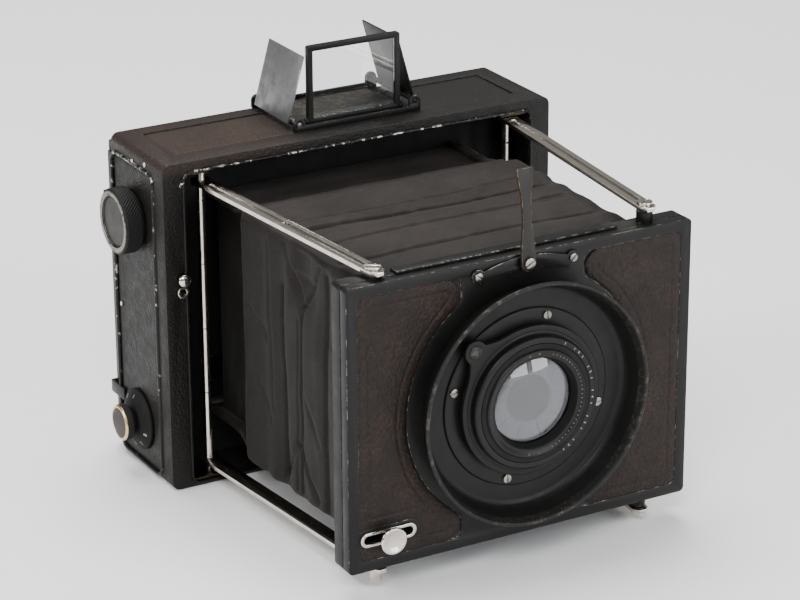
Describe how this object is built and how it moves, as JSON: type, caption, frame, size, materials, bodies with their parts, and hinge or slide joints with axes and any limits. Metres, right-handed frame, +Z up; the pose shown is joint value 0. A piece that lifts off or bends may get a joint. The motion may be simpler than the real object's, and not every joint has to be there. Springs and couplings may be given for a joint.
{
  "type": "folding plate camera",
  "caption": "Strut-folding focal-plane plate camera with soft bellows, dished lens collar, folding optical finder and sliding ground-glass back.",
  "frame": {"origin": "mouth of the tripod socket in the base of the body, in the plane the camera stands on", "axes": "+Z up out of the base, lens looks along -Y, +X to the right as seen from the front"},
  "size_m": [0.1843, 0.1793, 0.1617],
  "materials": {
    "black_leatherette": "pebbled",
    "black_leather": "pebbled, worn",
    "brown_leather": "pebbled, worn",
    "brass": "satin",
    "nickel": "polished",
    "black_paint": "semi-gloss, worn edges",
    "shutter_cloth": "rubbered cloth",
    "strap_leather": "smooth",
    "bellows_cloth": "soft, creased",
    "blackened_brass": "blackened, worn",
    "lens_glass": "polished",
    "blued_steel": "satin",
    "worn_steel": "worn",
    "finder_glass": "polished",
    "ground_glass": "ground"
  },
  "bodies": {
    "body": {"body_shell": "black_leatherette", "top_leather": "black_leather", "left_side_leather": "black_leather", "right_side_leather": "black_leather", "base_leather": "black_leather", "tripod_bush": "brass", "rod_brackets": "brass", "case_pins": "nickel", "release_socket": "nickel", "light_baffle": "black_paint", "bearing_plates": "brass", "shutter_curtain": "shutter_cloth", "back_rails": "black_paint", "back_catches": "nickel", "strap_lugs": "black_paint", "hand_strap": "strap_leather", "bellows": "bellows_cloth", "finder_base": "black_paint"},
    "standard": {"standard_frame": "black_paint", "foot_rails": "black_paint"},
    "panel": {"lens_panel": "black_paint", "panel_leathers": "brown_leather", "slot_rim": "nickel", "lens_collar": "black_paint", "lens_flange": "black_paint", "flange_screws": "nickel", "lever_bridge": "blackened_brass", "lever_screw": "nickel"},
    "lock": {"lock_knob": "nickel"},
    "lever": {"front_lever": "blackened_brass"},
    "left_strut_body": {"left_strut": "nickel", "left_foot_screws": "nickel"},
    "fold_stud": {"strut_stud": "nickel"},
    "right_strut_body": {"right_strut": "nickel", "right_foot_screws": "nickel"},
    "focus": {"focus_ring": "black_paint"},
    "lens": {"lens_barrel": "black_paint", "lens_bezel": "blackened_brass", "front_glass": "lens_glass", "rear_glass": "lens_glass", "iris_blades": "blued_steel"},
    "aperture": {"aperture_ring": "black_paint"},
    "winding": {"winding_knob": "black_paint", "winding_disc": "worn_steel", "winding_gear": "brass"},
    "upper_roller_body": {"upper_roller": "brass", "roller_gear": "brass"},
    "lower_roller_body": {"lower_roller": "brass"},
    "tension": {"tension_dial": "black_paint", "tension_knob": "blackened_brass"},
    "release": {"release_button": "nickel"},
    "finder_pane": {"finder_frame": "black_paint", "finder_glass": "finder_glass"},
    "left_leaf_body": {"left_leaf": "worn_steel"},
    "right_leaf_body": {"right_leaf": "black_paint"},
    "back": {"back_frame": "black_paint", "ground_glass": "ground_glass", "hood_hinge": "nickel"},
    "hood": {"hood_cover": "black_paint", "hood_leather": "black_leather"}
  },
  "joints": [
    {"name": "front_fold", "type": "hinge", "parent": "body", "child": "left_strut_body", "pos_m": [-0.06565, -0.0078, 0], "axis": [0, 0, 1], "range_deg": [0, 81.37], "deforming": ["bellows"]},
    {"name": "stud_turn", "type": "hinge", "parent": "left_strut_body", "child": "fold_stud", "pos_m": [-0.06053, -0.0639, 0], "axis": [0, 0, 1], "range_deg": [-162.74, 0]},
    {"name": "standard_square", "type": "hinge", "parent": "fold_stud", "child": "standard", "pos_m": [-0.06565, -0.12, 0], "axis": [0, 0, 1], "range_deg": [0, 81.37]},
    {"name": "right_strut_swing", "type": "hinge", "parent": "body", "child": "right_strut_body", "pos_m": [0.06565, -0.0078, 0], "axis": [0, 0, 1], "range_deg": [-81.37, 0]},
    {"name": "panel_shift", "type": "slide", "parent": "standard", "child": "panel", "axis": [1, 0, 0], "range_m": [-0.0065, 0.0065]},
    {"name": "lock_knob_turn", "type": "hinge", "parent": "standard", "child": "lock", "pos_m": [-0.0545, -0.1265, 0.0228], "axis": [0, -1, 0], "range_deg": [0, 270]},
    {"name": "front_lever_turn", "type": "hinge", "parent": "panel", "child": "lever", "pos_m": [0.0014, -0.1265, 0.115], "axis": [0, 1, 0], "range_deg": [-90, 90]},
    {"name": "focus_turn", "type": "hinge", "parent": "panel", "child": "focus", "pos_m": [0.0014, -0.1265, 0.0641], "axis": [0, 1, 0], "range_deg": [-110, 0]},
    {"name": "lens_extend", "type": "slide", "parent": "panel", "child": "lens", "axis": [0, -1, 0], "range_m": [0, 0.004]},
    {"name": "aperture_turn", "type": "hinge", "parent": "lens", "child": "aperture", "pos_m": [0.0014, -0.1265, 0.0641], "axis": [0, 1, 0], "range_deg": [0, 120]},
    {"name": "winding_turn", "type": "hinge", "parent": "body", "child": "winding", "pos_m": [-0.083, 0.0155, 0.1015], "axis": [-1, 0, 0], "continuous": true},
    {"name": "upper_roller_turn", "type": "hinge", "parent": "body", "child": "upper_roller_body", "pos_m": [0, 0.021, 0.115], "axis": [-1, 0, 0], "continuous": true},
    {"name": "lower_roller_turn", "type": "hinge", "parent": "body", "child": "lower_roller_body", "pos_m": [0, 0.021, 0.0135], "axis": [-1, 0, 0], "continuous": true},
    {"name": "tension_turn", "type": "hinge", "parent": "body", "child": "tension", "pos_m": [-0.083, 0.0155, 0.0198], "axis": [-1, 0, 0], "range_deg": [0, 300]},
    {"name": "release_press", "type": "slide", "parent": "body", "child": "release", "axis": [0, 1, 0], "range_m": [0, 0.0018], "stiffness_N_per_m": 400},
    {"name": "finder_frame_fold", "type": "hinge", "parent": "body", "child": "finder_pane", "pos_m": [0.0039, 0.0016, 0.1324], "axis": [-1, 0, 0], "range_deg": [0, 90]},
    {"name": "left_leaf_fold", "type": "hinge", "parent": "body", "child": "left_leaf_body", "pos_m": [-0.021, -0.002, 0.1327], "axis": [0, 1, 0], "range_deg": [0, 74]},
    {"name": "right_leaf_fold", "type": "hinge", "parent": "body", "child": "right_leaf_body", "pos_m": [0.0288, -0.002, 0.134], "axis": [0, 1, 0], "range_deg": [-74, 0]},
    {"name": "back_slide", "type": "slide", "parent": "body", "child": "back", "axis": [1, 0, 0], "range_m": [0, 0.12]},
    {"name": "hood_open", "type": "hinge", "parent": "back", "child": "hood", "pos_m": [0, 0.0403, 0.1161], "axis": [1, 0, 0], "range_deg": [0, 95]}
  ],
  "couplings": [
    {"joint": "stud_turn", "follows": "front_fold", "ratio": -2},
    {"joint": "standard_square", "follows": "front_fold", "ratio": 1},
    {"joint": "right_strut_swing", "follows": "front_fold", "ratio": -1},
    {"joint": "lens_extend", "follows": "focus_turn", "m_per_rad": -0.0020835},
    {"joint": "upper_roller_turn", "follows": "winding_turn", "ratio": -1},
    {"joint": "lower_roller_turn", "follows": "winding_turn", "ratio": -1}
  ]
}
